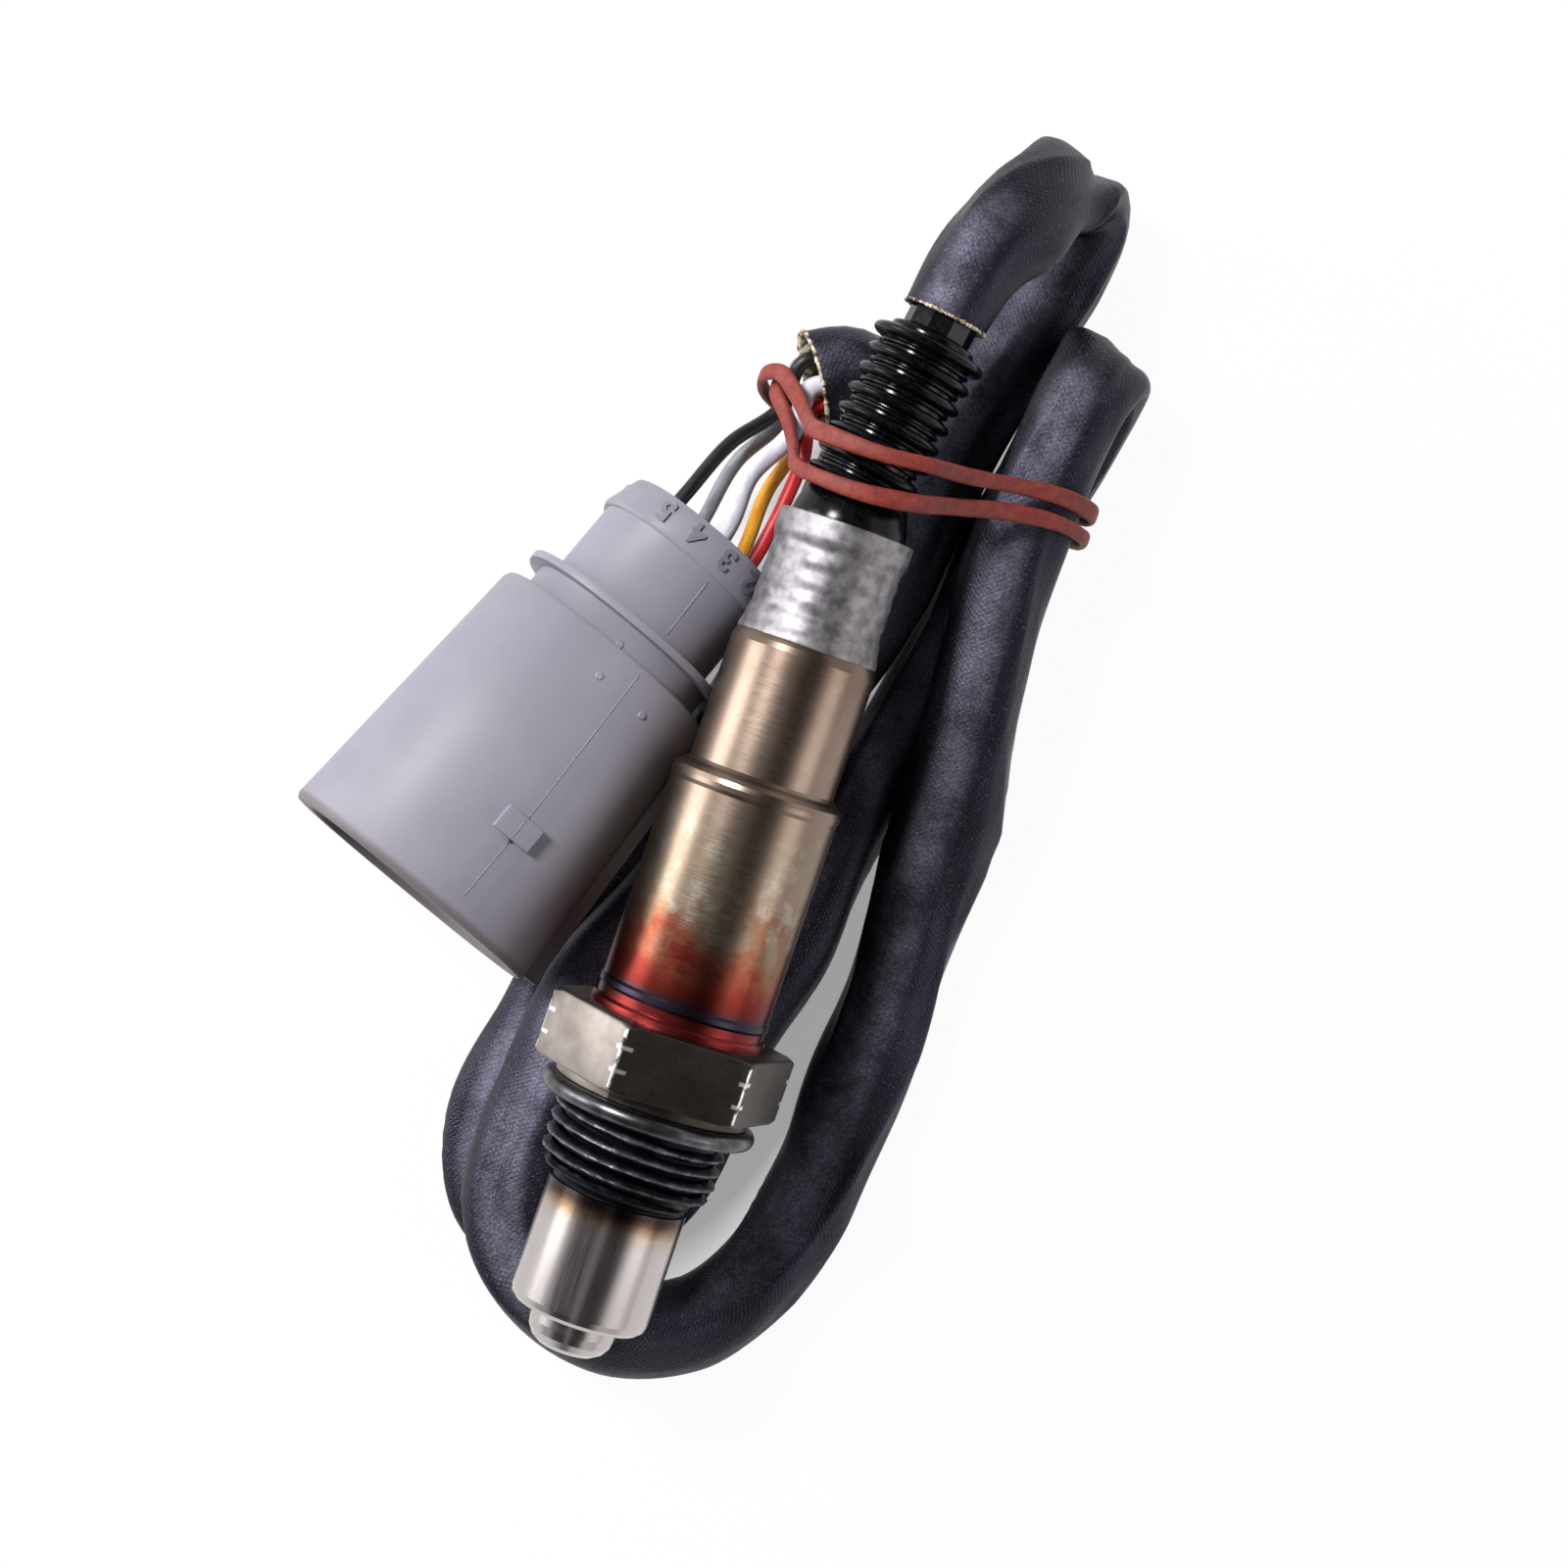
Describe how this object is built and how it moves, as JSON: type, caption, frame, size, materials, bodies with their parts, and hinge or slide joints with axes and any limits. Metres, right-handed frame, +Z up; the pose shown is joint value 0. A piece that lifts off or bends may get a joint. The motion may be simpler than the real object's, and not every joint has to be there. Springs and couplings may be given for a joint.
{
  "type": "oxygen sensor",
  "caption": "Wideband exhaust oxygen sensor: hexagon body, gasket, double protection tube, stepped barrel, crimped boot, sheathed lead folded under it in a rubber band, and a rounded connector.",
  "frame": {"origin": "on the sensor's axis, in the plane where the gasket meets the exhaust boss", "axes": "+Y along the sensor's axis towards the lead, -Y out of the tip, +Z up as the sensor lies on its folded lead, +X towards the lead's outer run"},
  "size_m": [0.0678, 0.1337, 0.0325],
  "materials": {
    "body_steel": "turned stainless steel, dulled",
    "gasket_steel": "folded steel sheet, dark",
    "tube_steel": "deep drawn stainless steel, bright",
    "barrel_steel": "stainless steel with bronze heat tint",
    "sleeve_steel": "crimped stainless steel, bright",
    "boot_rubber": "moulded fluoro rubber, glossy",
    "ceramic": "fired ceramic",
    "contact_metal": "plated copper alloy",
    "sheath_weave": "coated glass-fibre sleeve, black, satin",
    "lead_black": "black insulation",
    "lead_grey": "grey insulation",
    "lead_white": "white insulation",
    "lead_yellow": "yellow insulation",
    "lead_red": "red insulation",
    "band_rubber": "brown-red rubber",
    "connector_plastic": "moulded polyamide, lavender grey",
    "carrier_plastic": "moulded polyamide, dark",
    "lock_plastic": "moulded polyamide, brick red",
    "resistor_coat": "lacquer",
    "seal_rubber": "silicone rubber"
  },
  "bodies": {
    "root": {"hex_body": "body_steel", "gasket_ring": "gasket_steel", "outer_protection_tube": "tube_steel", "inner_protection_tube": "tube_steel", "barrel_sleeve": "barrel_steel", "crimp_sleeve": "sleeve_steel", "grommet": "boot_rubber", "bellows_boot": "boot_rubber", "sensor_element": "ceramic", "lower_ceramic": "ceramic", "talc_packing": "ceramic", "upper_ceramic": "ceramic", "press_ring": "sleeve_steel", "contact_holder": "ceramic", "contact_springs": "contact_metal", "holder_spring": "sleeve_steel", "crimp_terminals": "contact_metal", "inner_leads": "lead_black", "sheath": "sheath_weave", "wire_black": "lead_black", "wire_grey": "lead_grey", "wire_white": "lead_white", "wire_yellow": "lead_yellow", "wire_red": "lead_red", "rubber_band": "band_rubber", "connector_housing": "connector_plastic", "rear_cap": "connector_plastic", "pin_carrier": "carrier_plastic", "contact_pins": "contact_metal", "terminal_lock": "lock_plastic", "trim_resistor": "resistor_coat", "wire_seals": "seal_rubber", "blind_plug": "seal_rubber"}
  },
  "joints": []
}
